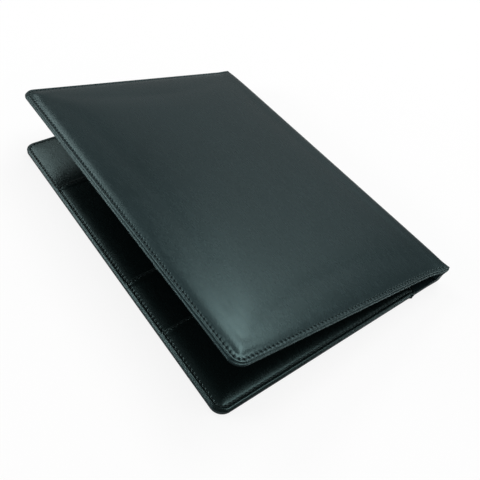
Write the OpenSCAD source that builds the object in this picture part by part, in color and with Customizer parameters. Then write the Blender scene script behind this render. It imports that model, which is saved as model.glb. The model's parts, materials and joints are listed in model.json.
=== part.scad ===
// Padded A4 portfolio case: two stiffened, stitched leather covers joined by a folding leather spine.
// It lies on the padded face of its pocket cover, with the pad cover standing a little open above it.
// X runs from the fore edge to the spine, Y from the foot of the case to its head, and Z is up.
// The origin is the middle of the flat padded face that the case lies on.

/* [Case] */
// Length of the covers, from foot to head
case_h = 320; // [280:1:360]
// Width of each cover, from its fore edge to the fold beside the spine
cover_w = 231.5; // [200:0.5:260]
// Distance between the two folds of the spine
spine_w = 15.5; // [14:0.1:24]
// Angle between the covers as the case stands at rest
rest_open = 11.4; // [4:0.1:30]
// Radius of the corners at the fore edges
corner_r = 10; // [6:0.5:16]

/* [Padding] */
// Height of the padded field above the stitched rim
pad_h = 2.5; // [1.6:0.1:4]
// Width of the rounded shoulder of the padding
shoulder_w = 9; // [5:0.5:14]
// Width of the shoulder beside the spine
spine_shoulder_w = 6; // [4:0.5:9]

/* [Leather and boards] */
// Thickness of the outer leather
leather_t = 1; // [0.8:0.1:1.2]
// Thickness of the skived leather that is turned in round the edge
turn_in_t = 0.6; // [0.4:0.1:0.8]
// Width of the turned-in leather
turn_in_w = 12; // [10:0.5:18]
// Width of the sewn leather border outside the board
border_w = 4.4; // [4.2:0.1:6]
// Thickness of the lining, pocket and hinge leather
lining_t = 0.6; // [0.4:0.1:0.8]
// Width of the hinge leather left bare beside each fold
hinge_bare_w = 29.5; // [20:0.5:36]
// Width of the stiffener inside the spine
spine_board_w = 11; // [8:0.5:12]

/* [Pockets] */
// Height of the document pocket above the foot
document_pocket_h = 254; // [200:1:270]
// Height of the middle pocket above the foot
middle_pocket_h = 131; // [110:1:150]
// Height of the card pocket above the foot
card_pocket_h = 77; // [60:1:90]
// Height of the sleeve that takes the writing pad's backing card
pad_sleeve_h = 99; // [80:1:130]
// Free depth left inside the two small pockets
pocket_gap = 0.2; // [0.2:0.1:0.4]

/* [Stitching] */
// Distance of the seam from the edge
seam_inset = 3.2; // [2.6:0.1:3.8]
// Width of the sewing thread
thread_w = 0.7; // [0.5:0.1:0.8]
// Depth of the groove that the seam pulls into the outer leather
groove_d = 0.4; // [0.2:0.1:0.5]

/* [Hidden] */
$fn = 64;

// Each cover is drawn with its fold axis on the Y axis and its padded outer side up:
// the fore edge is at -cover_w, the rim's outer face at +fold_r and the turned-in leather at -fold_r.
fold_r = 1.6;               // half the thickness of the rim at the fold, and the radius of the folded leather
fold_gap = 0.3;             // clearance between a cover and the folded leather of the spine
cover_end = -(fold_r + fold_gap);
board_top = fold_r - leather_t;
board_under = turn_in_t - fold_r;
panel_end = -hinge_bare_w;  // spine side of the inner panels
panel_inset = 0.4;          // the lining stands back this far from the leather edge
ring_w = turn_in_w + 1;     // width of the lining that lies on the turned-in leather
layer_0 = -fold_r - lining_t;                    // surface of the lining
layer_1 = layer_0 - lining_t;                    // surface of the document pocket and of the pad sleeve
layer_2 = layer_1 - pocket_gap - lining_t;       // surface of the middle pocket
layer_3 = layer_2 - pocket_gap - lining_t;       // surface of the card pocket
hem_seam_inset = 2.5;       // distance of a pocket's hem seam below its edge
pocket_border_w = 6;        // width of the sewn border of a small pocket
thread_h = 0.35;            // how far the thread stands above the lining side
thread_sink = 0.05;         // how far the thread lies below the face of the outer leather
thread_gap = 0.6;           // space between the end of a seam and the next edge
panel_seam_inset = seam_inset + thread_gap + thread_w;   // ends of the seam along a panel's spine side
crown_inset = seam_inset + 0.9;
crown_r = 6;                // corner radius of the padded field
crown_steps = 6;
foam_wall = 0.9;            // leather left round the foot of the foam
crown_gap = 0.6;            // flat leather left between the padding and the fold
seam_end = cover_end - thread_gap;
foot_y = -case_h / 2;

axis_x = cover_w / 2;
axis_z = pad_h + fold_r;
fold_rest = rest_open / 2;

leather_black = [0.075, 0.09, 0.095];
lining_black = [0.05, 0.055, 0.06];
thread_black = [0.03, 0.035, 0.035];
foam_grey = [0.35, 0.35, 0.36];
board_grey = [0.42, 0.4, 0.37];

// ---- outlines and placing ----

// Outline of a cover at a distance inside its edge, rounded at the fore corners and ending at end_x
module outline(inset, end_x = cover_end) {
    r = max(corner_r - inset, 1);
    x0 = inset - cover_w;
    y0 = case_h / 2 - inset;
    translate([x0 + r, -y0]) square([end_x - x0 - r, 2 * y0]);
    translate([x0, r - y0]) square([r, 2 * (y0 - r)]);
    for (side = [-1, 1]) translate([x0 + r, side * (y0 - r)]) circle(r);
}

// Plate of a cover's outline from z0 up to z1
module plate(inset, z0, z1, end_x = cover_end) {
    translate([0, 0, z0]) linear_extrude(z1 - z0) outline(inset, end_x);
}

// Frame along the foot, fore edge and head, from one inset to a deeper one
module edge_frame(inset_0, inset_1, z0, z1, end_x = cover_end) {
    translate([0, 0, z0]) linear_extrude(z1 - z0) difference() {
        outline(inset_0, end_x);
        outline(inset_1, end_x + 1);
    }
}

// Slab across a cover, between two heights above the foot
module strip(x0, x1, h0, h1, z0, z1) {
    translate([x0, foot_y + h0, z0]) cube([x1 - x0, h1 - h0, z1 - z0]);
}

module place_pocket_cover() {
    translate([axis_x, 0, axis_z]) mirror([0, 0, 1]) children();
}

module place_spine() {
    translate([axis_x, 0, axis_z]) rotate([0, fold_rest, 0]) children();
}

module place_pad_cover() {
    place_spine() translate([0, 0, spine_w]) rotate([0, fold_rest, 0]) children();
}

// ---- pieces that both covers have ----

// Crowned solid whose side rises in a quarter ellipse, drawn in by inset and standing from z0 to z0 + rise
module crown(inset, z0, rise) {
    hull() for (i = [0 : crown_steps]) {
        angle = 90 * i / crown_steps;
        run = 1 - cos(angle);
        x0 = inset - cover_w + shoulder_w * run + crown_r;
        x1 = cover_end - crown_gap - (inset - crown_inset) - spine_shoulder_w * run;
        y0 = case_h / 2 - inset - shoulder_w * run;
        translate([0, 0, z0 + rise * sin(angle)]) for (side = [-1, 1]) {
            translate([x0, side * (y0 - crown_r), 0]) cylinder(r = crown_r, h = 0.01, $fn = 32);
            translate([x1 - 1, side * (y0 - 1), 0]) cylinder(r = 1, h = 0.01, $fn = 16);
        }
    }
}

module outer_leather() {
    difference() {
        union() {
            plate(0, board_top, fold_r);
            edge_frame(0, border_w, -fold_r, board_top);
            edge_frame(0, turn_in_w, -fold_r, board_under);
            crown(crown_inset, fold_r, pad_h);
        }
        crown(crown_inset + foam_wall, board_top, pad_h);
        edge_frame(seam_inset - thread_w / 2, seam_inset + thread_w / 2, fold_r - groove_d, fold_r + 1);
    }
}

module foam() {
    crown(crown_inset + foam_wall, board_top, pad_h);
}

module board() {
    plate(border_w, board_under, board_top);
}

// Lining sheet that lies on the board, raised along its sides over the turned-in and hinge leather
module lining() {
    inner_end = panel_end - ring_w;
    difference() {
        plate(panel_inset, layer_0, -fold_r, panel_end);
        plate(ring_w, layer_0 - 1, 0, inner_end);
    }
    difference() {
        plate(turn_in_w, -fold_r, board_under, panel_end - turn_in_w);
        plate(ring_w, -fold_r - 1, 0, inner_end);
    }
    plate(ring_w, board_under - lining_t, board_under, inner_end);
}

// Strip of thin leather beside the fold, tucked under the edge of the inner panel
module hinge_leather() {
    strip(panel_end - turn_in_w, cover_end, turn_in_w, case_h - turn_in_w, -fold_r, board_under);
}

// Flat pocket sheet over the foot of the panel, up to height h
module pocket_sheet(h, z0, z1) {
    intersection() {
        plate(panel_inset, z0, z1, panel_end);
        strip(-cover_w, panel_end, 0, h, z0, z1);
    }
}

// Pocket with a sewn border on three sides and a free depth behind it, open toward the head
module bordered_pocket(h, z0) {
    inner = z0 + lining_t;
    outer = inner + pocket_gap;
    pocket_sheet(h, z0, inner);
    difference() {
        pocket_sheet(h, inner, outer);
        strip(pocket_border_w - cover_w, panel_end - pocket_border_w, pocket_border_w, h + 1,
            inner - 1, outer + 1);
    }
}

// Thread round the edge of a cover, from height z0 to z1, between two distances above the foot
module edge_thread(z0, z1, h0, h1, end_x) {
    intersection() {
        edge_frame(seam_inset - thread_w / 2, seam_inset + thread_w / 2, z0, z1, end_x);
        strip(-cover_w, end_x, h0, h1, z0, z1);
    }
}

// The edge seam where it shows on the outer leather, sunk in its groove
module outer_seam() {
    edge_thread(fold_r - groove_d, fold_r - thread_sink, 0, case_h, seam_end);
}

// The edge seam where it shows on the turned-in leather between the inner panel and the fold
module hinge_end_seam() {
    for (h = [seam_inset, case_h - seam_inset])
        strip(panel_end + thread_gap, seam_end, h - thread_w / 2, h + thread_w / 2,
            -fold_r - thread_h, -fold_r);
}

// The edge seam on an inner surface, on the stretch that no higher pocket covers
module inner_seam(surface, h0, h1) {
    edge_thread(surface - thread_h, surface, h0 + thread_gap, h1 - thread_gap, panel_end - thread_gap);
}

// Seam along the spine side of an inner panel, on the stretch that no higher pocket covers
module panel_seam(surface, h0, h1) {
    x1 = panel_end - hem_seam_inset;
    strip(x1 - thread_w, x1, h0 + thread_gap, h1 - thread_gap, surface - thread_h, surface);
}

// Seam straight across a pocket, just below its hem
module hem_seam(h, surface) {
    h1 = h - hem_seam_inset;
    strip(seam_inset + thread_w - cover_w, panel_end - hem_seam_inset - 2 * thread_w, h1 - thread_w, h1,
        surface - thread_h, surface);
}

// ---- pocket cover, lying at the bottom ----

module pocket_cover_leather() {
    color(leather_black) place_pocket_cover() outer_leather();
}

module pocket_cover_foam() {
    color(foam_grey) place_pocket_cover() foam();
}

module pocket_cover_board() {
    color(board_grey) place_pocket_cover() board();
}

module pocket_cover_lining() {
    color(lining_black) place_pocket_cover() lining();
}

module pocket_cover_hinge_leather() {
    color(lining_black) place_pocket_cover() hinge_leather();
}

module document_pocket() {
    color(lining_black) place_pocket_cover() pocket_sheet(document_pocket_h, layer_1, layer_0);
}

module middle_pocket() {
    color(lining_black) place_pocket_cover() bordered_pocket(middle_pocket_h, layer_2);
}

module card_pocket() {
    color(lining_black) place_pocket_cover() bordered_pocket(card_pocket_h, layer_3);
}

module pocket_cover_seam() {
    color(thread_black) place_pocket_cover() {
        outer_seam();
        hinge_end_seam();
        inner_seam(layer_0, document_pocket_h, case_h);
        inner_seam(layer_1, middle_pocket_h, document_pocket_h);
        inner_seam(layer_2, card_pocket_h, middle_pocket_h);
        inner_seam(layer_3, 0, card_pocket_h);
    }
}

module pocket_panel_seam() {
    color(thread_black) place_pocket_cover() {
        panel_seam(layer_0, document_pocket_h, case_h - panel_seam_inset);
        panel_seam(layer_1, middle_pocket_h, document_pocket_h);
        panel_seam(layer_2, card_pocket_h, middle_pocket_h);
        panel_seam(layer_3, panel_seam_inset, card_pocket_h);
    }
}

module document_pocket_seam() {
    color(thread_black) place_pocket_cover() hem_seam(document_pocket_h, layer_1);
}

module middle_pocket_seam() {
    color(thread_black) place_pocket_cover() hem_seam(middle_pocket_h, layer_2);
}

module card_pocket_seam() {
    color(thread_black) place_pocket_cover() hem_seam(card_pocket_h, layer_3);
}

// ---- spine, drawn with its lower fold on the Y axis and its outer side toward +X ----

// Bar along the spine between two values of x, as wide as the stiffener and short of the ends by gap
module spine_bar(x0, x1, gap = 0) {
    translate([x0, foot_y + gap, (spine_w - spine_board_w) / 2])
        cube([x1 - x0, case_h - 2 * gap, spine_board_w]);
}

// Thread straight across the spine at its foot and head, between two values of x
module spine_thread(x0, x1, z0) {
    for (side = [-1, 1]) translate([x0, side * (case_h / 2 - seam_inset) - thread_w / 2, z0])
        cube([x1 - x0, thread_w, spine_w - 2 * z0]);
}

module spine_leather() {
    color(leather_black) place_spine() difference() {
        union() {
            for (z = [0, spine_w]) translate([0, 0, z])
                rotate([90, 0, 0]) cylinder(r = fold_r, h = case_h, center = true);
            translate([-fold_r, foot_y, 0]) cube([2 * fold_r, case_h, spine_w]);
        }
        spine_bar(-fold_r - 1, board_top, -1);
        spine_thread(fold_r - groove_d, fold_r + 1, -2 * fold_r);
    }
}

module spine_board() {
    color(board_grey) place_spine() spine_bar(board_under, board_top, turn_in_w);
}

// Lining of the spine, thickened at its ends to close round the stiffener
module spine_lining() {
    color(lining_black) place_spine() difference() {
        spine_bar(-fold_r, board_top);
        spine_bar(board_under, board_top + 1, turn_in_w);
    }
}

module spine_seam() {
    color(thread_black) place_spine() {
        spine_thread(fold_r - groove_d, fold_r - thread_sink, 0);
        spine_thread(-fold_r - thread_h, -fold_r, (spine_w - spine_board_w) / 2);
    }
}

// ---- pad cover, standing open on top ----

module pad_cover_leather() {
    color(leather_black) place_pad_cover() outer_leather();
}

module pad_cover_foam() {
    color(foam_grey) place_pad_cover() foam();
}

module pad_cover_board() {
    color(board_grey) place_pad_cover() board();
}

module pad_cover_lining() {
    color(lining_black) place_pad_cover() lining();
}

module pad_cover_hinge_leather() {
    color(lining_black) place_pad_cover() hinge_leather();
}

module pad_sleeve() {
    color(lining_black) place_pad_cover() pocket_sheet(pad_sleeve_h, layer_1, layer_0);
}

module pad_cover_seam() {
    color(thread_black) place_pad_cover() {
        outer_seam();
        hinge_end_seam();
        inner_seam(layer_0, pad_sleeve_h, case_h);
        inner_seam(layer_1, 0, pad_sleeve_h);
    }
}

module pad_panel_seam() {
    color(thread_black) place_pad_cover() {
        panel_seam(layer_0, pad_sleeve_h, case_h - panel_seam_inset);
        panel_seam(layer_1, panel_seam_inset, pad_sleeve_h);
    }
}

module pad_sleeve_seam() {
    color(thread_black) place_pad_cover() hem_seam(pad_sleeve_h, layer_1);
}

pocket_cover_leather();
pocket_cover_foam();
pocket_cover_board();
pocket_cover_lining();
pocket_cover_hinge_leather();
document_pocket();
middle_pocket();
card_pocket();
pocket_cover_seam();
pocket_panel_seam();
document_pocket_seam();
middle_pocket_seam();
card_pocket_seam();
spine_leather();
spine_board();
spine_lining();
spine_seam();
pad_cover_leather();
pad_cover_foam();
pad_cover_board();
pad_cover_lining();
pad_cover_hinge_leather();
pad_sleeve();
pad_cover_seam();
pad_panel_seam();
pad_sleeve_seam();
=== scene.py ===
"""Looks of the padded leather portfolio case: two stitched, padded covers joined by a folding leather spine.

Lengths below are millimetres in a cover's own flat layout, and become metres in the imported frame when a
mesh is made. In that layout u runs along the cover, 0 at its fold axis and negative toward the fore edge.
v runs from foot to head, with 0 in the middle. h is the height on the padded outer side of the fold axis,
so it is negative on the inner side.
"""
import json
import math

import bmesh
import bpy
import numpy as np
from mathutils import Matrix, Vector


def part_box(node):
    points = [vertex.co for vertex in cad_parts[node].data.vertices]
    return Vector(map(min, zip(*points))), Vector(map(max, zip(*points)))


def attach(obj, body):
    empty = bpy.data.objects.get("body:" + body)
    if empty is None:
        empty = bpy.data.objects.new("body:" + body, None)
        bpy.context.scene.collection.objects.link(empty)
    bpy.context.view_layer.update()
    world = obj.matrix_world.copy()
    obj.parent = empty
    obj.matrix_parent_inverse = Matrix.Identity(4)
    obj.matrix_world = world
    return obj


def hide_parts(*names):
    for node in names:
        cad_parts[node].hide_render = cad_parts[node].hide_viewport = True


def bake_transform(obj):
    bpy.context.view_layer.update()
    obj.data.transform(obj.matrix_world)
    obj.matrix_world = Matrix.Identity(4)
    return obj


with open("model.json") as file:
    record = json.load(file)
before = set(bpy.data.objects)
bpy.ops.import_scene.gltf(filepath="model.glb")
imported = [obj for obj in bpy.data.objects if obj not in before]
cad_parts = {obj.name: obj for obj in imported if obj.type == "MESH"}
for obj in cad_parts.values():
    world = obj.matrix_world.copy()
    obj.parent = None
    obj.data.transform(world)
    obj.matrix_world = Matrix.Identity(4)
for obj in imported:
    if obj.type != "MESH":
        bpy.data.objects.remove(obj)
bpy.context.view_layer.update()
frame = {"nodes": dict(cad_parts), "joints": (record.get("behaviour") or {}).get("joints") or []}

# ---------------------------------------------------------------- sizes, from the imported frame

MM = 0.001


def mm(value):
    return np.array(value, float) / MM


JOINTS = {j["name"]: j for j in frame["joints"]}
LOWER_AXIS = mm(JOINTS["lower_fold"]["pos_m"])
UPPER_AXIS = mm(JOINTS["upper_fold"]["pos_m"])
COVER_LO, COVER_HI = (mm(corner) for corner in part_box("pocket_cover_leather"))
PANEL_HI = mm(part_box("pocket_cover_lining")[1])
SEAM_LO = mm(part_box("pocket_cover_seam")[0])
HEM_LO, HEM_HI = (mm(corner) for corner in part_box("document_pocket_seam"))

COVER_W = LOWER_AXIS[0] - COVER_LO[0]           # fore edge to fold axis
CASE_H = COVER_HI[1] - COVER_LO[1]
HALF = CASE_H / 2
FOLD_R = COVER_HI[2] - LOWER_AXIS[2]            # half the thickness of the rim
PAD_H = LOWER_AXIS[2] - FOLD_R                  # height of the padding above the rim
SPINE_W = float(np.linalg.norm(UPPER_AXIS - LOWER_AXIS))
REST_FOLD = math.atan2(UPPER_AXIS[0] - LOWER_AXIS[0], UPPER_AXIS[2] - LOWER_AXIS[2])
BEND = math.pi / 2 - REST_FOLD                  # how far the leather turns round each fold at rest
THREAD_W = HEM_HI[1] - HEM_LO[1]
SEAM_INSET = SEAM_LO[0] - COVER_LO[0] + THREAD_W / 2
PANEL_END = PANEL_HI[0] - LOWER_AXIS[0]         # spine side of the inner panels
CORNER_R = 10.0
LEATHER_T = 1.0
TURN_IN_T = 0.6
TURN_IN_W = 12.0
BORDER_W = 4.2              # where the skin's sewn border ends inside, just short of the CAD's
FOAM_INSET = mm(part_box("pocket_cover_foam")[0])[0] - COVER_LO[0]
FOAM_SHOULDER = 9.0
SHEET_T = 0.6
POCKET_GAP = 0.2
FOLD_OUT = 2.4              # radius of the bend at a fold


def height_above_foot(node):
    return mm(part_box(node)[1])[1] + HALF


DOCUMENT_H = height_above_foot("document_pocket")
MIDDLE_H = height_above_foot("middle_pocket")
CARD_H = height_above_foot("card_pocket")
SLEEVE_H = height_above_foot("pad_sleeve")

# Sewing
PITCH = 3.6                 # length of one stitch
PER_STITCH = 12             # samples along each stitch
RIBS = 3                    # fine diagonal ribs for each stitch, on the second roll of the pad cover's edge
RIB_H = 0.035

# Padding and spine
PAD_INSET = SEAM_INSET + 0.6
CUSHION_W = 11.0            # how fast the padding rises away from the seam
PAD_RISE = PAD_H + 0.8
SPINE_SHOULDER_W = 13.0
SPINE_BULGE = 0.7           # how far the soft spine stands out between its folds
BULGE_FROM, BULGE_SHARE = -1.0, 0.75            # where along u it begins, share of the half spine it takes
FOLD_RISE_W = 14.0          # width over which the rim rises to the outside of the bend
SWELL_END_W = 20.0          # width over which the swell of the foam dies out toward the spine
TABLE_GAP = 0.02            # how far the padding that lies on the table ends above it
FOLD_LENGTH = BEND * FOLD_OUT
SPINE_MID = FOLD_LENGTH + SPINE_W / 2           # layout position of the middle of the spine

# Inner sheets
HEM_W = 6.0                 # turned over at the top of a pocket
HEM_RISE = 0.35             # how much thicker the sheet is there
POCKET_PANEL_INSET = 0.5    # from the cover's edge to the inner panel's
PAD_PANEL_INSET = -0.15     # the pad cover's panel stands out a little past the rim
PANEL_BULGE = 0.25
LAYER_STEP = 0.3            # how much further in each pocket is cut than the sheet under it
INNER_LIFT = 0.35           # how much further out of its holes the inner thread lies
CLEAR_OF_HEM = 1.5          # distance from a pocket's hem to the first stitch beyond it
SHEET_CORNER_R = 1.2        # at the pockets' hems and at the spine side
POCKET_FOOT_OUT = 1.2       # how far the edges of the pocket cover's pockets stand out at the foot
BULGE_SHOULDER_W = 12.0     # how far inside the seams the inner sheets reach their full bulge

# Foot of the spine: how much further out its outer side stands there, and over which lengths from the foot
STAND_OUT_FROM, STAND_OUT_W = -5.0, 7.0         # where along u it begins, and over which width it grows
LEAN = 0.35                 # over the whole height of the case
PUFF, PUFF_LENGTH = 0.5, 20.0
LIP, LIP_LENGTH = 1.2, 9.0
FLARE_LENGTH = 14.0         # how far from the foot a flare of the rim reaches
# Flares of the rim, past the foot: u of the middle, size, and width toward the fore edge and away from it
PANEL_END_LUMP = (PANEL_END - 3.5, 1.2, 1.6, 1.6)
UPPER_FOLD_FLARE = (FOLD_LENGTH / 2, 3.0, 14.0, 9.0)
# The same flare in the layout of the pocket cover, whose u runs the other way along the spine
SAME_FLARE_FROM_BELOW = (2 * SPINE_MID - FOLD_LENGTH / 2, 3.0, 9.0, 14.0)


# ---------------------------------------------------------------- placing the layout in the frame


class Cover:
    """Where one cover and its half of the spine lie in the frame."""

    def __init__(self, body, axis, along, out, flares):
        self.body = body
        self.flares = flares
        self.axis = axis
        self.along = np.array(along, float)     # toward the spine
        self.out = np.array(out, float)         # toward the padded side
        c, s = math.cos(BEND), math.sin(BEND)
        self.spine_out = c * self.out + s * self.along
        self.spine_along = c * self.along - s * self.out

    def place(self, u, v, h):
        """Points of the layout, bent round the fold, in the frame in millimetres."""
        u, v, h = np.broadcast_arrays(*(np.asarray(x, float) for x in (u, v, h)))
        turn = np.clip(u / FOLD_OUT, 0, BEND)
        on_cover = np.minimum(u, 0)
        on_spine = np.maximum(u - FOLD_LENGTH, 0)
        # Inside the axis the leather of the two sides meets in the bisecting plane of the fold
        inside = np.maximum(-h, 0) * math.tan(BEND / 2)
        cover_side = u <= FOLD_LENGTH / 2
        turn = np.where(h < 0, np.where(cover_side, 0, BEND), turn)
        on_cover = np.where((h < 0) & cover_side, np.minimum(on_cover, -inside), on_cover)
        on_cover = np.where((h < 0) & ~cover_side, 0, on_cover)
        on_spine = np.where((h < 0) & ~cover_side, np.maximum(on_spine, inside), on_spine)
        out = np.cos(turn)[..., None] * self.out + np.sin(turn)[..., None] * self.along
        p = self.axis + h[..., None] * out
        p = p + on_cover[..., None] * self.along + on_spine[..., None] * self.spine_along
        p = p + spine_stand_out(u, v, h)[..., None] * self.spine_out
        near_foot = smooth_step((FLARE_LENGTH - HALF - v) / FLARE_LENGTH)
        p[..., 1] = v
        for centre, size, before, after in self.flares:
            p[..., 1] -= size * bump(u - centre, np.where(u < centre, before, after)) * near_foot
        return p

    def blend(self, piece):
        """Bakes a piece's transform into its mesh; its points were already bent round the fold when placed.
        """
        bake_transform(piece)


def smooth_step(x):
    x = np.clip(x, 0, 1)
    return x * x * (3 - 2 * x)


def bump(x, width):
    return np.exp(-(x / width) ** 2)


def unit(vectors):
    return vectors / np.linalg.norm(vectors, axis=1, keepdims=True)


def spine_stand_out(u, v, h):
    """How much further the outer side of the soft spine stands out toward its foot."""
    from_foot = v + HALF
    lip = LIP * smooth_step(1 - from_foot / LIP_LENGTH)
    amount = LEAN * (1 - from_foot / CASE_H) + PUFF * bump(from_foot, PUFF_LENGTH) + lip
    toward_spine = smooth_step((u - STAND_OUT_FROM) / STAND_OUT_W)
    toward_outside = smooth_step((h + FOLD_R) / (2 * FOLD_R))
    return amount * toward_spine * toward_outside


OPENING = 2 * REST_FOLD
POCKET_COVER = Cover("pocket_cover", LOWER_AXIS, (1, 0, 0), (0, 0, -1),
                     [PANEL_END_LUMP, SAME_FLARE_FROM_BELOW])
PAD_COVER = Cover("pad_cover", UPPER_AXIS, (math.cos(OPENING), 0, -math.sin(OPENING)),
                  (math.sin(OPENING), 0, math.cos(OPENING)), [UPPER_FOLD_FLARE])


# ---------------------------------------------------------------- outlines and sewn surfaces


class Outline:
    """A rectangle with rounded corners, sampled along its seam with as many samples in every stitch.

    Its sides run foot, fore, head and, if it is closed, spine. Each side goes from the middle of one corner
    to the middle of the next. Opposite sides have as many samples, so that a grid can fill the inside."""

    def __init__(self, u0, u1, v0, v1, radii, seam, closed, per=PER_STITCH):
        self.rect = (u0, u1, v0, v1)
        self.radii, self.seam, self.closed, self.per = radii, seam, closed, per
        pieces = self._pieces(seam)[:8 if closed else 5]
        lengths = [self._length(p) for p in pieces]
        foot = lengths[0] + lengths[1] / 2 + (lengths[7] / 2 if closed else 0)
        fore = lengths[2] + (lengths[1] + lengths[3]) / 2
        self.stitches = (max(2, round(foot / PITCH)), max(2, round(fore / PITCH)))
        # The pieces of each side, with the share of each piece from which it starts and at which it ends
        sides = [[(0, 0, 1), (1, 0, .5)], [(1, .5, 1), (2, 0, 1), (3, 0, .5)], [(3, .5, 1), (4, 0, 1)]]
        if closed:
            sides[0].insert(0, (7, .5, 1))
            sides[2].append((5, 0, .5))
            sides.append([(5, .5, 1), (6, 0, 1), (7, 0, .5)])
        piece, share = [], []
        for k, parts in enumerate(sides):
            spans = np.array([lengths[p] * (b - a) for p, a, b in parts])
            ends = np.concatenate([[0], np.cumsum(spans)])
            count = self.stitches[k % 2] * per
            for s in np.arange(count) / count * ends[-1]:
                j = min(int(np.searchsorted(ends, s, side="right")) - 1, len(parts) - 1)
                p, a, b = parts[j]
                piece.append(p)
                share.append(a + (b - a) * (s - ends[j]) / max(spans[j], 1e-9))
        if not closed:
            piece.append(4)
            share.append(1.0)
        self.piece, self.share = np.array(piece), np.array(share)
        self.corners = np.cumsum([0] + [self.stitches[k % 2] * per for k in range(len(sides))])
        self.count = len(piece)

    def _corner(self, k, inset):
        """Centre and radius of a corner's arc. Corners run fore-foot, fore-head, spine-head, spine-foot."""
        u0, u1, v0, v1 = self.rect
        u, su = ((u0, 1), (u0, 1), (u1, -1), (u1, -1))[k]
        v, sv = ((v0, 1), (v1, -1), (v1, -1), (v0, 1))[k]
        smallest = min(self.radii[k], 2.0) if self.radii[k] > 2 else 0.15
        r = max(self.radii[k] - inset, smallest)
        return np.array([u + su * (inset + r), v + sv * (inset + r)]), r

    def _pieces(self, inset):
        u0, u1, v0, v1 = self.rect
        (c0, r0), (c1, r1), (c2, r2), (c3, r3) = (self._corner(k, inset) for k in range(4))
        foot_start = (c3[0] if self.closed else u1, v0 + inset)
        head_end = (c2[0] if self.closed else u1, v1 - inset)
        right, down = math.pi / 2, math.pi
        return [
            ("line", foot_start, (c0[0], v0 + inset)),
            ("arc", c0, r0, -right, -down),
            ("line", (u0 + inset, c0[1]), (u0 + inset, c1[1])),
            ("arc", c1, r1, down, right),
            ("line", (c1[0], v1 - inset), head_end),
            ("arc", c2, r2, right, 0),
            ("line", (u1 - inset, c2[1]), (u1 - inset, c3[1])),
            ("arc", c3, r3, 0, -right),
        ]

    @staticmethod
    def _length(p):
        if p[0] == "line":
            return math.dist(p[1], p[2])
        return p[2] * abs(p[4] - p[3])

    def at(self, inset):
        """All samples at one inset, as (count, 2)."""
        out = np.zeros((self.count, 2))
        for k, p in enumerate(self._pieces(inset)):
            mine = self.piece == k
            t = self.share[mine][:, None]
            if p[0] == "line":
                out[mine] = (1 - t) * np.array(p[1]) + t * np.array(p[2])
            else:
                angle = p[3] + t * (p[4] - p[3])
                out[mine] = p[1] + p[2] * np.hstack([np.cos(angle), np.sin(angle)])
        return out

    def phase(self):
        """Place of each sample within its stitch: 0 at a needle hole, 0.5 in the middle of a stitch."""
        return (np.arange(self.count) % self.per) / self.per

    def keep(self, step, always=None):
        """Indices kept on a row that holds one sample of every step, plus those always kept."""
        index = np.arange(self.count)
        kept = index % step == 0
        if always is not None:
            kept |= always
        return index[kept]


def quads(grid):
    """The faces of a grid of vertex numbers."""
    corners = np.stack([grid[:-1, :-1], grid[1:, :-1], grid[1:, 1:], grid[:-1, 1:]], -1)
    return corners.reshape(-1, 4).tolist()


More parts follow.
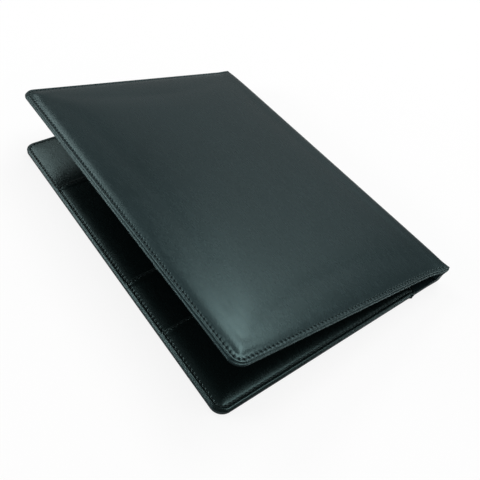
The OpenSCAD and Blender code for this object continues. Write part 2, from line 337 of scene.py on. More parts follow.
class Surface:
    """Vertices and faces of one closed piece, made row by row."""

    def __init__(self):
        self.points, self.faces, self.total = [], [], 0

    def add(self, points):
        points = np.atleast_2d(points)
        first = self.total
        self.points.append(points)
        self.total += len(points)
        return np.arange(first, first + len(points))

    def bridge(self, a, keep_a, b, keep_b, count, closed):
        """Faces between two rows of an outline, where one row may hold only some of the other's samples."""
        coarse = keep_a if len(keep_a) <= len(keep_b) else keep_b
        spans = list(zip(coarse[:-1], coarse[1:]))
        if closed:
            spans.append((coarse[-1], coarse[0] + count))
        where_a = {int(k): int(v) for k, v in zip(keep_a, a)}
        where_b = {int(k): int(v) for k, v in zip(keep_b, b)}
        for k0, k1 in spans:
            side_a = [where_a[k % count] for k in range(k0, k1 + 1) if k % count in where_a]
            side_b = [where_b[k % count] for k in range(k0, k1 + 1) if k % count in where_b]
            self.faces.append(side_a + side_b[::-1])

    def fill(self, outline, row, keep, inset, height, cover):
        """Grid inside the last row of an outline. height(u, v) gives its height."""
        ends = outline.corners
        foot = [int(i) for i, k in zip(row, keep) if ends[0] <= k <= ends[1]]
        fore = [int(i) for i, k in zip(row, keep) if ends[1] <= k <= ends[2]]
        head = [int(i) for i, k in zip(row, keep) if ends[2] <= k <= ends[3]]
        at = outline.at(inset)[keep]
        place = {int(i): p for i, p in zip(row, at)}
        if outline.closed:
            spine = [int(i) for i, k in zip(row, keep) if k >= ends[3]] + [int(row[0])]
        else:
            share = np.linspace(0, 1, len(fore))[1:-1, None]
            start, end = place[head[-1]], place[foot[0]]
            line = (1 - share) * start + share * end
            ids = self.add(cover.place(line[:, 0], line[:, 1], height(line[:, 0], line[:, 1])))
            place.update({int(i): p for i, p in zip(ids, line)})
            spine = [head[-1], *(int(i) for i in ids), foot[0]]
        head, spine = head[::-1], spine[::-1]
        n, m = len(foot), len(fore)
        grid = np.zeros((n, m), int)
        grid[:, 0], grid[:, -1], grid[-1, :], grid[0, :] = foot, head, fore, spine
        low, high, near, far = (np.array([place[i] for i in ids]) for ids in (foot, head, spine, fore))
        a = np.abs(low[:, 0] - low[0, 0])[:, None, None] / abs(low[-1, 0] - low[0, 0])
        b = np.abs(far[:, 1] - far[0, 1])[None, :, None] / abs(far[-1, 1] - far[0, 1])
        inner = ((1 - b) * low[:, None] + b * high[:, None] + (1 - a) * near[None] + a * far[None]
                 - (1 - a) * (1 - b) * low[0] - a * (1 - b) * low[-1]
                 - (1 - a) * b * high[0] - a * b * high[-1])[1:-1, 1:-1]
        u, v = inner[..., 0].ravel(), inner[..., 1].ravel()
        grid[1:-1, 1:-1] = self.add(cover.place(u, v, height(u, v))).reshape(n - 2, m - 2)
        self.faces += quads(grid)

    def join(self, rows, outline, first_height, last_height, cover):
        """Faces between all rows of an outline, and grids inside the first row and inside the last."""
        for (a, keep_a, _), (b, keep_b, _) in zip(rows[:-1], rows[1:]):
            self.bridge(a, keep_a, b, keep_b, outline.count, outline.closed)
        for (row, keep, inset), height in ((rows[0], first_height), (rows[-1], last_height)):
            self.fill(outline, row, keep, inset, height, cover)

    def object(self, name, material, close=False):
        points = np.concatenate(self.points) * MM
        mesh = bpy.data.meshes.new(name)
        mesh.from_pydata(points.tolist(), [], self.faces)
        piece = bpy.data.objects.new(name, mesh)
        bpy.context.scene.collection.objects.link(piece)
        finish_mesh(mesh, close)
        mesh.materials.append(material)
        return piece


def finish_mesh(mesh, close=False):
    """Merges doubled points, closes the cut end if asked to, and makes the faces smooth and face outward."""
    bm = bmesh.new()
    bm.from_mesh(mesh)
    bmesh.ops.remove_doubles(bm, verts=bm.verts, dist=1e-7)
    if close:
        edges = [e for e in bm.edges if e.is_boundary]
        bmesh.ops.holes_fill(bm, edges=edges, sides=0)
    bmesh.ops.recalc_face_normals(bm, faces=bm.faces)
    for face in bm.faces:
        face.smooth = True
    bm.to_mesh(mesh)
    bm.free()
    mesh.update()


def shoulder(distance, width):
    """Quarter ellipse: 0 at the edge of the padding, 1 a width inside it."""
    t = np.clip(distance / width, 0, 1)
    return np.sqrt(1 - (1 - t) ** 2)


def cushion(distance):
    """Soft rise of the padding away from a seam: 0 at the seam, near 1 well inside it."""
    return 1 - np.exp(-np.maximum(distance, 0) / CUSHION_W)


def corner_distance(u, v, u0, half, reach=10.0, power=5):
    """Distance inside the fore, foot and head sides of a rectangle, rounded where they meet."""
    a = u - u0
    b = half - np.abs(v)
    both = (np.maximum(reach - a, 0) ** power + np.maximum(reach - b, 0) ** power) ** (1 / power)
    return np.where((a < reach) & (b < reach), reach - both, np.minimum(a, b))


# ---------------------------------------------------------------- the padding under the outer leather


SOFTNESS = 0.05             # rounds the line where the soft rise passes into the foam block
COVERING = 0.1              # how far the leather's outer face stands above the foam block at least
CROWN_END = 1.5             # how far past the fold axis the padding ends


def crown(u, v):
    """Height of the padding above the rim, without the swell of the foam."""
    from_fore = u + COVER_W - PAD_INSET
    from_side = HALF - PAD_INSET - np.abs(v)
    soft = PAD_RISE * cushion(from_fore) * cushion(from_side)
    from_block = corner_distance(u, v, FOAM_INSET - COVER_W, HALF - FOAM_INSET)
    block = PAD_H * shoulder(from_block, FOAM_SHOULDER)
    over_block = block - LEATHER_T + COVERING
    height = (soft + over_block + np.sqrt((soft - over_block) ** 2 + SOFTNESS)) / 2
    # What the rounding adds at the seam is taken off again
    added = (np.sqrt(SOFTNESS + (LEATHER_T - COVERING) ** 2) - LEATHER_T + COVERING) / 2
    height -= added * bump(np.minimum(from_fore, from_side), 2.0)
    return height * shoulder(CROWN_END - u, SPINE_SHOULDER_W)


class Swell:
    """How far the foam pushes the sewn-down leather up beyond the crown, from a cloth simulation of it."""

    STEP = 5.0              # between the points of the simulated leather
    MOST = 1.3              # the swell comes near this at most
    FRAMES = 20

    def __init__(self):
        self.u = np.arange(PAD_INSET - COVER_W, -1.0, self.STEP)
        self.v = np.linspace(-1, 1, 2 * int(HALF / self.STEP) + 1) * (HALF - PAD_INSET)
        uu, vv = np.meshgrid(self.u, self.v, indexing="ij")
        rest = crown(uu, vv)
        raised = self.simulate(uu, vv, rest) - rest
        self.rise = self.MOST * np.tanh(np.maximum(raised, 0) / self.MOST)

    def simulate(self, uu, vv, rest):
        n, m = uu.shape
        points = np.stack([uu, vv, rest], -1).reshape(-1, 3) * MM
        index = np.arange(n * m).reshape(n, m)
        mesh = bpy.data.meshes.new("leather_sheet")
        mesh.from_pydata(points.tolist(), [], quads(index))
        sheet = bpy.data.objects.new("leather_sheet", mesh)
        bpy.context.scene.collection.objects.link(sheet)
        pins = sheet.vertex_groups.new(name="seam")
        border = np.concatenate([index[0], index[-1], index[:, 0], index[:, -1]])
        pins.add([int(i) for i in np.unique(border)], 1.0, "REPLACE")
        cloth = sheet.modifiers.new("cloth", "CLOTH")
        settings = cloth.settings
        settings.vertex_group_mass = "seam"
        settings.effector_weights.gravity = 0
        settings.use_pressure = True
        settings.uniform_pressure_force = 4
        settings.quality = 8
        settings.mass = 0.4
        settings.tension_stiffness = 40
        settings.compression_stiffness = 40
        settings.shear_stiffness = 20
        settings.bending_stiffness = 8
        scene = bpy.context.scene
        for step in range(1, self.FRAMES + 1):
            scene.frame_set(step)
        dressed = sheet.evaluated_get(bpy.context.evaluated_depsgraph_get())
        co = np.zeros(n * m * 3)
        dressed.data.vertices.foreach_get("co", co)
        bpy.data.objects.remove(sheet)
        scene.frame_set(1)
        return co.reshape(n, m, 3)[..., 2] / MM

    def __call__(self, u, v):
        i = np.clip((u - self.u[0]) / self.STEP, 0, len(self.u) - 1.001)
        j = np.clip((v - self.v[0]) / (self.v[1] - self.v[0]), 0, len(self.v) - 1.001)
        i0, j0 = i.astype(int), j.astype(int)
        a, b = i - i0, j - j0
        r = self.rise
        return ((1 - a) * (1 - b) * r[i0, j0] + a * (1 - b) * r[i0 + 1, j0]
                + (1 - a) * b * r[i0, j0 + 1] + a * b * r[i0 + 1, j0 + 1])


# Rows of points beside a seam, as distances from it, finest at the needle holes
SEAM_ROWS = (2.8, 2.25, 1.8, 1.45, 1.15, 0.9, 0.7, 0.52, 0.36,
             0.22, 0.08, -0.06, -0.2, -0.35, -0.52, -0.72, -0.95, -1.2)
GROOVE_W = 0.7
HOLE_DEPTH = 1.3
HOLE_W, HOLE_LENGTH = 0.58, 0.56
HOLE_SLANT = 0.5
SCALLOP_OUT, SCALLOP_W = 0.9, 0.5       # distance from the seam to the raised sides, and their width
SCALLOP_SLANT = 0.14


def stitch_marks(inset, seam, phase, strength, scallop=0.045, valley=0.08):
    """How the thread draws the leather: a groove, a slanted hole at each end of a stitch, raised sides."""
    off = inset - seam
    groove = -valley * bump(off, GROOVE_W)
    along = PITCH * ((phase + 0.5) % 1 - 0.5) - HOLE_SLANT * off
    hole = -HOLE_DEPTH * bump(off, HOLE_W) * bump(along, HOLE_LENGTH)
    wave = np.cos(2 * np.pi * (phase - 0.5 - SCALLOP_SLANT * off))
    ridge = scallop * bump(np.abs(off) - SCALLOP_OUT, SCALLOP_W) * wave
    return strength * (groove + hole + ridge)


# ---------------------------------------------------------------- outer leather of a cover and half the spine


def spine_height(u):
    """Extra height of the soft leather near the fold and toward the middle of the spine."""
    fold = (FOLD_OUT - FOLD_R) * smooth_step(1 + u / FOLD_RISE_W)
    return fold + SPINE_BULGE * smooth_step((u - BULGE_FROM) / (SPINE_MID * BULGE_SHARE))


def outer_height(swell, flat):
    """Height function of the outer leather inside its seam. A flat cover lies on the table."""
    def height(u, v):
        pad = crown(u, v) + swell(u, v) * shoulder(-u, SWELL_END_W) * (u < 0)
        if flat:
            pad = np.minimum(pad, PAD_H - TABLE_GAP)
        return FOLD_R + pad + spine_height(u)
    return height


def roll(inset, depth, top, bottom, count, square=1.0):
    """Rounded edge of a layer from its upper face round to its lower one, as points of inset and height.

    With square below 1 the side is flatter and the two corners tighter."""
    middle, half = (top + bottom) / 2, (top - bottom) / 2
    points = []
    for angle in np.linspace(math.pi / 2, -math.pi / 2, count):
        across, up = abs(math.cos(angle)) ** square, abs(math.sin(angle)) ** square
        points.append((inset + depth * (1 - across), middle + math.copysign(half * up, angle)))
    return points


# The sewn edge as points of inset and height, from its upper face round to where it lies under the inner
# panel. On the pad cover a second roll of leather stands out under the first, with a crease between them and
# a thin lip under both. On the pocket cover one roll takes it all.
UPPER_ROLL = roll(0.8, 0.7, FOLD_R, 0.45, 9)
CREASE = [(1.8, 0.25)]
LOWER_ROLL = roll(-0.3, 0.9, 0.05, -1.15, 11, square=1.1)
LOWER_LIP = [(0.75, -1.2), (0.1, -1.26), (-0.12, -1.36), (-0.2, -FOLD_R)]
PAD_EDGE = UPPER_ROLL + CREASE + LOWER_ROLL + LOWER_LIP
POCKET_EDGE = roll(0.1, 0.8, FOLD_R, -FOLD_R, 17, square=0.25)
RIBBED_BELOW = 0.1          # height under which the pad cover's edge has ribs


def outer_skin(cover, name, swell, flat, edge, material):
    """The outer leather of one cover, its turned-in edge and its half of the spine, as one closed piece."""
    radii = (CORNER_R, CORNER_R, 1, 1)
    outline = Outline(-COVER_W, SPINE_MID, -HALF, HALF, radii, SEAM_INSET, closed=False)
    phase = outline.phase()
    fold_zone = outline.at(SEAM_INSET)[:, 0] > -6       # where every sample is kept, so that it bends well
    height = outer_height(swell, flat)
    surface = Surface()
    rows = []

    def row(inset, step, h=None, marks=0.0, base=0.0, ribs=0.0):
        keep = outline.keep(step, fold_zone)
        at = outline.at(inset)[keep]
        if ribs:
            foot_or_head = np.abs(at[:, 1]) > HALF - CORNER_R
            wave = np.sin(2 * np.pi * (RIBS * phase[keep] + 0.5 * h)) * ribs * foot_or_head * (at[:, 0] < -2)
            inward = outline.at(inset + 0.1)[keep] - at
            at = at + inward * (wave[:, None] / 0.1)
        top = height(at[:, 0], at[:, 1]) if h is None else h + spine_height(at[:, 0]) * base
        if marks:
            top = top + stitch_marks(inset, SEAM_INSET, phase[keep], marks)
        ids = surface.add(cover.place(at[:, 0], at[:, 1], top))
        rows.append((ids, keep, inset))

    def inner_height(u, v):
        return np.maximum(height(u, v) - LEATHER_T, FOLD_R - LEATHER_T)

    # The padded face, finer toward the seam, then the seam itself and the edge
    for inset, step in ((15, 8), (13.5, 8), (12, 8), (10.5, 8), (9, 8), (7.8, 4), (6.8, 2)):
        row(inset, step)
    for off in SEAM_ROWS:
        row(SEAM_INSET + off, 1, marks=1.0)
    for inset, h in edge:
        ribbed = RIB_H if not flat and h < RIBBED_BELOW else 0.0
        row(inset, 1, h, marks=smooth_step(h - 0.2), base=max(0, min(1, 1 + h)), ribs=ribbed)
    # The turned-in leather on the inner side, round its cut edge and back to the border
    under = -FOLD_R
    over = under + TURN_IN_T
    for inset, step, h in ((2.2, 2, under), (4, 4, under), (8, 8, under), (TURN_IN_W, 8, under),
                           (TURN_IN_W, 8, over), (6, 8, over), (BORDER_W + 0.2, 8, over),
                           (BORDER_W, 8, over + 0.2), (BORDER_W, 8, FOLD_R - LEATHER_T - 0.2)):
        row(inset, step, h)
    # The leather's inner face, on the padding
    for inset in (BORDER_W + 0.2, 6, 8, 10, 12, 15):
        keep = outline.keep(8, fold_zone)
        at = outline.at(inset)[keep]
        ids = surface.add(cover.place(at[:, 0], at[:, 1], inner_height(at[:, 0], at[:, 1])))
        rows.append((ids, keep, inset))
    surface.join(rows, outline, height, inner_height, cover)
    return surface.object(name, material, close=True), outline


# ---------------------------------------------------------------- stitches


# Places along a stitch, and how far below the leather the middle of the thread is there
STITCH_SHARES = np.array([-0.06, 0.04, 0.14, 0.3, 0.5, 0.7, 0.86, 0.96, 1.06])
STITCH_DROPS = np.array([-1.25, -0.85, -0.52, -0.32, -0.27, -0.32, -0.52, -0.85, -1.25])
THREAD_R = 0.27
THREAD_SIDES = 8
THREAD_SLANT = 0.16 * 1.6   # how far a stitch crosses its seam from one hole to the next


def stitches(cover, name, outline, chosen, height, material, out=1.0, lift=0.0):
    """Single stitches of thread along an outline's seam.

    height(u, v) is the top of the leather beside the seam. out is 1 on the padded side and -1 on the inner
    side, and lift brings the thread further out of its holes."""
    surface = Surface()
    per, share, sides = outline.per, STITCH_SHARES, THREAD_SIDES
    on_seam, inside = outline.at(outline.seam), outline.at(outline.seam + 0.6)
    ring = np.arange(sides) / sides * 2 * math.pi
    for k in chosen:
        at = (k + share) * per
        if outline.closed:
            at = at % outline.count
        at = np.clip(at, 0, outline.count - (0 if outline.closed else 1))
        low = np.floor(at).astype(int)
        high = (low + 1) % outline.count if outline.closed else np.minimum(low + 1, outline.count - 1)
        t = (at - low)[:, None]
        low = low % outline.count
        middle = (1 - t) * on_seam[low] + t * on_seam[high]
        inward = unit((1 - t) * inside[low] + t * inside[high] - middle)
        line = middle + inward * ((share - 0.5) * THREAD_SLANT)[:, None]
        h = height(line[:, 0], line[:, 1]) + out * (STITCH_DROPS + lift)
        centre = cover.place(line[:, 0], line[:, 1], h)
        above = unit(cover.place(line[:, 0], line[:, 1], h + out * 0.2) - centre)
        along = unit(np.gradient(centre, axis=0))
        side = unit(np.cross(along, above))
        above = np.cross(side, along)
        tubes = (centre[:, None] + THREAD_R * (np.cos(ring)[None, :, None] * side[:, None]
                                               + np.sin(ring)[None, :, None] * above[:, None]))
        ids = surface.add(tubes.reshape(-1, 3)).reshape(len(share), sides)
        for i in range(len(share) - 1):
            for j in range(sides):
                n = (j + 1) % sides
                surface.faces.append([int(ids[i, j]), int(ids[i, n]), int(ids[i + 1, n]), int(ids[i + 1, j])])
        surface.faces.append([int(i) for i in ids[0][::-1]])
        surface.faces.append([int(i) for i in ids[-1]])
    return surface.object(name, material)


# ---------------------------------------------------------------- inner sheets: linings and pockets


# Rows of a sheet: insets and steps inside the seam, and insets and rises round its edge
SHEET_ROWS = ((9.0, 6), (7.5, 6), (6.5, 3))
SHEET_EDGE = ((1.25, 0.01), (0.85, 0.05), (0.5, 0.14), (0.22, 0.28), (0.06, 0.43), (0.0, 0.56))
SHEET_BACK_EDGE = ((0.04, -0.1), (0.16, 0.0))
SHEET_BACK_ROWS = ((1.0, 3), (3.0, 6), (6.0, 6), (9.0, 6))
SHEET_EDGE_W = 1.4          # the rounded edge takes the place of the seam rows within this inset


def sewn_sheet(cover, name, edge_inset, u1, v1, radii, base, bulge, material, hem=False, foot_out=0.0):
    """A thin sewn sheet on the inner side.

    base is the height of the face toward the board. foot_out is how far the edge at the foot stands out."""
    u0, v0 = edge_inset - COVER_W, edge_inset - HALF
    seam = SEAM_INSET - edge_inset
    valley = 0.25 if hem else 0.1
    outline = Outline(u0, u1, v0, v1, radii, seam, closed=True, per=6)
    phase = outline.phase()
    surface = Surface()
    rows = []

    def top_height(u, v):
        thick = SHEET_T
        if hem:
            thick = SHEET_T + HEM_RISE * smooth_step((v - (v1 - HEM_W)) / 0.8)
        return base - thick - bulge(u, v)

    def back_height(u, v):
        return base - bulge(u, v)

    def row(inset, step, rise, marks=0.0, bottom=False):
        keep = outline.keep(step)
        at = outline.at(inset)[keep]
        u, v = at[:, 0], at[:, 1] - foot_out * smooth_step((v0 + 2.6 - at[:, 1]) / 2.2)
        top = (back_height if bottom else top_height)(u, v) + rise
        if marks:
            top = top - stitch_marks(inset, seam, phase[keep], marks, scallop=0.08, valley=valley)
        rows.append((surface.add(cover.place(u, v, top)), keep, inset))

    for inset, step in SHEET_ROWS:
        row(inset, step, 0)
    for off in SEAM_ROWS:
        if seam + off > SHEET_EDGE_W:
            row(seam + off, 1, 0, marks=0.7)
    for inset, rise in SHEET_EDGE:
        row(inset, 1, rise)
    for inset, rise in SHEET_BACK_EDGE:
        row(inset, 1, rise, bottom=True)
    for inset, step in SHEET_BACK_ROWS:
        row(inset, step, 0, bottom=True)
    surface.join(rows, outline, top_height, back_height, cover)
    return surface.object(name, material), outline, top_height


def hinge_strip(cover, name, material):
    """Thin leather that crosses the fold inside, from under the inner panel to the middle of the spine."""
    on_cover = np.linspace(PANEL_END - TURN_IN_W, -6, 12)
    round_fold = np.arange(-5.6, SPINE_MID, 0.4)
    v = np.linspace(TURN_IN_W - HALF, HALF - TURN_IN_W, 60)
    uu, vv = np.meshgrid(np.concatenate([on_cover, round_fold, [SPINE_MID]]), v, indexing="ij")
    surface = Surface()
    grids = []
    for h in (-FOLD_R, -FOLD_R + TURN_IN_T):
        grids.append(surface.add(cover.place(uu, vv, h).reshape(-1, 3)).reshape(uu.shape))
    for grid in grids:
        surface.faces += quads(grid)
    rims = [np.concatenate([g[:-1, 0], g[-1, :-1], g[:0:-1, -1], g[0, :0:-1]]) for g in grids]
    a, b = rims
    sides = np.stack([a, np.roll(a, -1), np.roll(b, -1), b], -1)
    surface.faces += sides.tolist()
    return surface.object(name, material)


# ---------------------------------------------------------------- materials


def principled(name, color, roughness):
    material = bpy.data.materials.new(name)
    material.use_nodes = True
    shader = material.node_tree.nodes["Principled BSDF"]
    shader.inputs["Base Color"].default_value = (*color, 1)
    shader.inputs["Roughness"].default_value = roughness
    return material, material.node_tree, shader


def node(tree, kind, **values):
    made = tree.nodes.new(kind)
    for key, value in values.items():
        if key in made.inputs.keys():
            made.inputs[key].default_value = value
        else:
            setattr(made, key, value)
    return made


STREAK_SCALE = (240, 75, 240)   # streaks are longest from foot to head


def leather(name, color, tint, roughness, spread, grain, streaks):
    """Smooth leather: fine grain, long faint streaks along the hide that change its gloss, slow tones."""
    material, tree, shader = principled(name, color, roughness)
    shader.inputs["Specular Tint"].default_value = (*tint, 1)
    link = tree.links.new
    where = node(tree, "ShaderNodeTexCoord")
    stretch = node(tree, "ShaderNodeMapping")
    stretch.inputs["Scale"].default_value = STREAK_SCALE
    link(where.outputs["Object"], stretch.inputs["Vector"])
    streak = node(tree, "ShaderNodeTexNoise", Scale=1.0, Detail=5.0, Roughness=0.7)
    link(stretch.outputs["Vector"], streak.inputs["Vector"])
    slow = node(tree, "ShaderNodeTexNoise", Scale=14.0, Detail=2.0)
    link(where.outputs["Object"], slow.inputs["Vector"])
    pores = node(tree, "ShaderNodeTexVoronoi", Scale=1400.0)
    link(where.outputs["Object"], pores.inputs["Vector"])
    fine = node(tree, "ShaderNodeTexNoise", Scale=900.0, Detail=3.0)
    link(where.outputs["Object"], fine.inputs["Vector"])
    rough = node(tree, "ShaderNodeMapRange")
    rough.inputs["To Min"].default_value = roughness - spread
    rough.inputs["To Max"].default_value = roughness + spread
    rough.inputs["From Min"].default_value = 0.3
    rough.inputs["From Max"].default_value = 0.7
    link(streak.outputs["Fac"], rough.inputs["Value"])
    link(rough.outputs["Result"], shader.inputs["Roughness"])
    tone = node(tree, "ShaderNodeMixRGB", blend_type="MIX")
    tone.inputs["Color1"].default_value = (*(0.75 * c for c in color), 1)
    tone.inputs["Color2"].default_value = (*(1.3 * c for c in color), 1)
    link(slow.outputs["Fac"], tone.inputs["Fac"])
    link(tone.outputs["Color"], shader.inputs["Base Color"])
    grainy = node(tree, "ShaderNodeBump", Strength=grain, Distance=0.0001)
    link(pores.outputs["Distance"], grainy.inputs["Height"])
    second = node(tree, "ShaderNodeBump", Strength=grain, Distance=0.0001)
    link(fine.outputs["Fac"], second.inputs["Height"])
    link(grainy.outputs["Normal"], second.inputs["Normal"])
    drawn = node(tree, "ShaderNodeBump", Strength=streaks, Distance=0.0002)
    link(streak.outputs["Fac"], drawn.inputs["Height"])
    link(second.outputs["Normal"], drawn.inputs["Normal"])
    link(drawn.outputs["Normal"], shader.inputs["Normal"])
    return material


def noisy(name, color, roughness, scale, strength, contrast=0.3, tint=(1, 1, 1), specular=0.2):
    """A matt material with an even speckle of tone and relief, for thread, foam and board."""
    material, tree, shader = principled(name, color, roughness)
    shader.inputs["Specular Tint"].default_value = (*tint, 1)
    shader.inputs["Specular IOR Level"].default_value = specular
    link = tree.links.new
    where = node(tree, "ShaderNodeTexCoord")
    grain = node(tree, "ShaderNodeTexNoise", Scale=scale, Detail=4.0)
    link(where.outputs["Object"], grain.inputs["Vector"])
    tone = node(tree, "ShaderNodeMixRGB", blend_type="MIX")
    tone.inputs["Color1"].default_value = (*((1 - contrast) * c for c in color), 1)
    tone.inputs["Color2"].default_value = (*((1 + contrast) * c for c in color), 1)
    link(grain.outputs["Fac"], tone.inputs["Fac"])
    link(tone.outputs["Color"], shader.inputs["Base Color"])
    relief = node(tree, "ShaderNodeBump", Strength=strength, Distance=0.0003)
    link(grain.outputs["Fac"], relief.inputs["Height"])
    link(relief.outputs["Normal"], shader.inputs["Normal"])
    return material


TINT = (0.63, 1.0, 1.0)
COVER_LEATHER = leather("cover_leather", (0.009, 0.017, 0.019), TINT, 0.27, 0.03, 0.35, 0.05)
LINING_LEATHER = leather("lining_leather", (0.003, 0.006, 0.006), TINT, 0.27, 0.03, 0.18, 0.018)
THREAD = noisy("thread", (0.006, 0.009, 0.009), 0.45, 2500, 0.3, tint=TINT)
INNER_THREAD = noisy("inner_thread", (0.012, 0.014, 0.014), 0.3, 2500, 0.2, tint=TINT, specular=0.6)
FOAM = noisy("foam", (0.35, 0.35, 0.36), 0.9, 1800, 0.8)
BOARD = noisy("board", (0.42, 0.40, 0.37), 0.85, 900, 0.4)


# ---------------------------------------------------------------- the case

swell = Swell()


def inner_bulge(amount):
    """Soft rise of the inner sheets, away from the seams along all four sides of the inner panel."""
    def rise(u, v):
        edge = corner_distance(u, v, SEAM_INSET + 0.3 - COVER_W, HALF - SEAM_INSET - 0.3)
        edge = np.minimum(edge, PANEL_END - SEAM_INSET - u)
        return amount * (1 - (1 - np.clip(edge / BULGE_SHOULDER_W, 0, 1)) ** 2)
    return rise


def over_seam(u, v):
    """Height of the outer leather beside its seam."""
    return FOLD_R + spine_height(u)


def dress_outside(cover, flat, edge):
    """The outer leather, its stitches and the hinge strip, each with half of the spine."""
    skin, outline = outer_skin(cover, cover.body + "_skin", swell, flat, edge, COVER_LEATHER)
    cover.blend(skin)
    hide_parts(cover.body + "_leather", "spine_leather")
    every = range((outline.count - 1) // outline.per)
    thread = stitches(cover, cover.body + "_stitches", outline, every, over_seam, THREAD)
    cover.blend(thread)
    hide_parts(cover.body + "_seam", "spine_seam")
    strip = hinge_strip(cover, cover.body + "_hinge_strip", LINING_LEATHER)
    cover.blend(strip)
    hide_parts(cover.body + "_hinge_leather", "spine_lining")
    return skin


def dress_inside(cover, flat, panel_inset, pockets, panel_seam, skin):
    """The inner panel and the pockets on it, each with its stitches.

    pockets lists node name, height above the foot and extra bulge, from the board up."""
    layers = [("lining", cover.body + "_inner_panel", cover.body + "_lining", panel_seam,
               HALF - panel_inset, PANEL_BULGE)]
    for name, top, amount in pockets:
        layers.append((name, cover.body + "_" + name, name, name + "_seam", top - HALF, amount))
    hems = [layer[4] for layer in layers]
    base, under = -FOLD_R, skin
    for k, (name, piece_name, node_name, seam_node, top, amount) in enumerate(layers):
        pocket = k > 0
        inset = panel_inset + LAYER_STEP * k
        corner = CORNER_R - inset
        radii = (corner, SHEET_CORNER_R if pocket else corner, SHEET_CORNER_R, SHEET_CORNER_R)
        foot_out = POCKET_FOOT_OUT if pocket and flat else 0.0
        made, outline, top_height = sewn_sheet(
            cover, piece_name, inset, PANEL_END, top, radii, base, inner_bulge(amount),
            LINING_LEATHER, hem=pocket, foot_out=foot_out)
        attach(made, cover.body)
        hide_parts(node_name)
        # Only the stitches that no higher pocket covers
        covered = max(hems[k + 1:], default=-math.inf) + CLEAR_OF_HEM
        middle_v = outline.at(outline.seam)[outline.per // 2::outline.per, 1]
        chosen = np.flatnonzero(middle_v > covered)
        sewn = stitches(cover, f"{cover.body}_{name}_stitches", outline, chosen, top_height, INNER_THREAD,
                        out=-1.0, lift=INNER_LIFT)
        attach(sewn, cover.body)
        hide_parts(seam_node)
        base -= SHEET_T + (POCKET_GAP if pocket else 0.0)
        under = made


POCKETS = [
    ("document_pocket", DOCUMENT_H, 1.0),
    ("middle_pocket", MIDDLE_H, 1.25),
    ("card_pocket", CARD_H, 1.5),
]
SLEEVE = [("pad_sleeve", SLEEVE_H, 0.5)]
pocket_skin = dress_outside(POCKET_COVER, True, POCKET_EDGE)
dress_inside(POCKET_COVER, True, POCKET_PANEL_INSET, POCKETS, "pocket_panel_seam", pocket_skin)
pad_skin = dress_outside(PAD_COVER, False, PAD_EDGE)
dress_inside(PAD_COVER, False, PAD_PANEL_INSET, SLEEVE, "pad_panel_seam", pad_skin)

for name, thing in frame["nodes"].items():
    if name.endswith("_foam") or name.endswith("_board"):
        thing.data.materials.clear()
        thing.data.materials.append(FOAM if name.endswith("_foam") else BOARD)


# ---------------------------------------------------------------- floor, light and camera

WHITE = (1, 1, 1, 1)
BOUNCE = (0.36, 0.38, 0.38)     # floor colour that reflections and bounced light meet
FLOOR_REACH = 6.0               # metres


def seen_by_camera(tree):
    """1 for rays straight from the camera, 0 for all others, such as reflections and light on the object."""
    path = node(tree, "ShaderNodeLightPath")
    return path.outputs["Is Camera Ray"]


def white_floor():
    mesh = bpy.data.meshes.new("floor")
    far = FLOOR_REACH
    mesh.from_pydata([(-far, -far, 0), (far, -far, 0), (far, far, 0), (-far, far, 0)], [], [(0, 1, 2, 3)])
    floor = bpy.data.objects.new("floor", mesh)
    bpy.context.scene.collection.objects.link(floor)
    material, tree, shader = principled("floor", BOUNCE, 0.9)
    shader.inputs["Specular IOR Level"].default_value = 0
    glow = node(tree, "ShaderNodeEmission", Color=WHITE, Strength=1.0)
    shaded = node(tree, "ShaderNodeBsdfDiffuse", Color=(0.95, 0.95, 0.95, 1))
    seen = node(tree, "ShaderNodeMixShader", Fac=0.85)
    mix = node(tree, "ShaderNodeMixShader")
    tree.links.new(shaded.outputs[0], seen.inputs[1])
    tree.links.new(glow.outputs[0], seen.inputs[2])
    tree.links.new(seen_by_camera(tree), mix.inputs[0])
    tree.links.new(shader.outputs[0], mix.inputs[1])
    tree.links.new(seen.outputs[0], mix.inputs[2])
    tree.links.new(mix.outputs[0], tree.nodes["Material Output"].inputs["Surface"])
    mesh.materials.append(material)


def white_world(strength):
    world = bpy.data.worlds.new("studio")
    bpy.context.scene.world = world
    world.use_nodes = True
    tree = world.node_tree
    plain = tree.nodes["Background"]
    plain.inputs["Color"].default_value = WHITE
    plain.inputs["Strength"].default_value = strength
    backdrop = node(tree, "ShaderNodeBackground", Color=WHITE, Strength=1.0)
    mix = node(tree, "ShaderNodeMixShader")
    tree.links.new(seen_by_camera(tree), mix.inputs[0])
    tree.links.new(plain.outputs[0], mix.inputs[1])
    tree.links.new(backdrop.outputs[0], mix.inputs[2])
    tree.links.new(mix.outputs[0], tree.nodes["World Output"].inputs["Surface"])


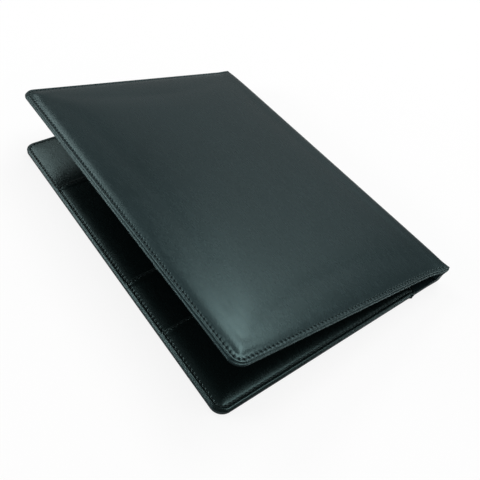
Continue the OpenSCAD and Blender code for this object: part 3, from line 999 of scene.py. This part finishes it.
def soft_box(name, azimuth, elevation, distance, size, watts, target=(0, 0, 0.03)):
    """A rectangular softbox that faces the case. Azimuth 0 is +Y and 90 is +X, in degrees."""
    a, e = math.radians(azimuth), math.radians(elevation)
    toward = Vector((math.sin(a) * math.cos(e), math.cos(a) * math.cos(e), math.sin(e)))
    data = bpy.data.lights.new(name, "AREA")
    data.shape = "RECTANGLE"
    data.size, data.size_y = size
    data.energy = watts
    lamp = bpy.data.objects.new(name, data)
    lamp.location = Vector(target) + toward * distance
    lamp.rotation_mode = "QUATERNION"
    lamp.rotation_quaternion = toward.to_track_quat("Z", "Y")
    bpy.context.scene.collection.objects.link(lamp)
    return lamp


CAMERA_AT = Vector((-258.0, -290.2, 401.4))     # millimetres
CAMERA_LOOKS = Vector((0.48335, 0.49539, -0.72178))
CAMERA_RIGHT = Vector((0.79755, -0.58913, 0.12975))
CAMERA_LENS = 46.2
CAMERA_SHIFT = -0.0414


def camera():
    """The view of the photograph: from the near fore corner, looking down on the padded cover."""
    data = bpy.data.cameras.new("camera")
    data.sensor_width = 36.0
    data.lens = CAMERA_LENS
    data.shift_y = CAMERA_SHIFT
    data.clip_start, data.clip_end = 0.01, 50
    looking = CAMERA_LOOKS.normalized()
    up = CAMERA_RIGHT.cross(looking).normalized()
    right = looking.cross(up)
    made = bpy.data.objects.new("camera", data)
    rows = Matrix((right, up, -looking)).transposed().to_4x4()
    made.matrix_world = Matrix.Translation(CAMERA_AT * MM) @ rows
    bpy.context.scene.collection.objects.link(made)
    bpy.context.scene.camera = made


white_floor()
white_world(0.16)
# Name, azimuth, elevation, distance and size in metres, watts
soft_box("key", 76, 56, 2.5, (1.25, 0.8), 19)
soft_box("top", 135, 71, 2.5, (1.2, 0.9), 17)
soft_box("front", 64, 39, 2.5, (0.9, 0.7), 2)
soft_box("front_low", 45, 18, 2.5, (2.4, 1.2), 1.8)
soft_box("back", -5, 45, 2.5, (1.3, 0.6), 12)
soft_box("left_rim", 303, 14, 2.5, (1.4, 0.9), 40)
soft_box("right_low", 135, 12, 2.5, (1.2, 0.5), 12)
soft_box("right", 116, 44, 2.5, (0.9, 0.9), 1.5)
camera()
bpy.context.scene.view_settings.view_transform = "Standard"
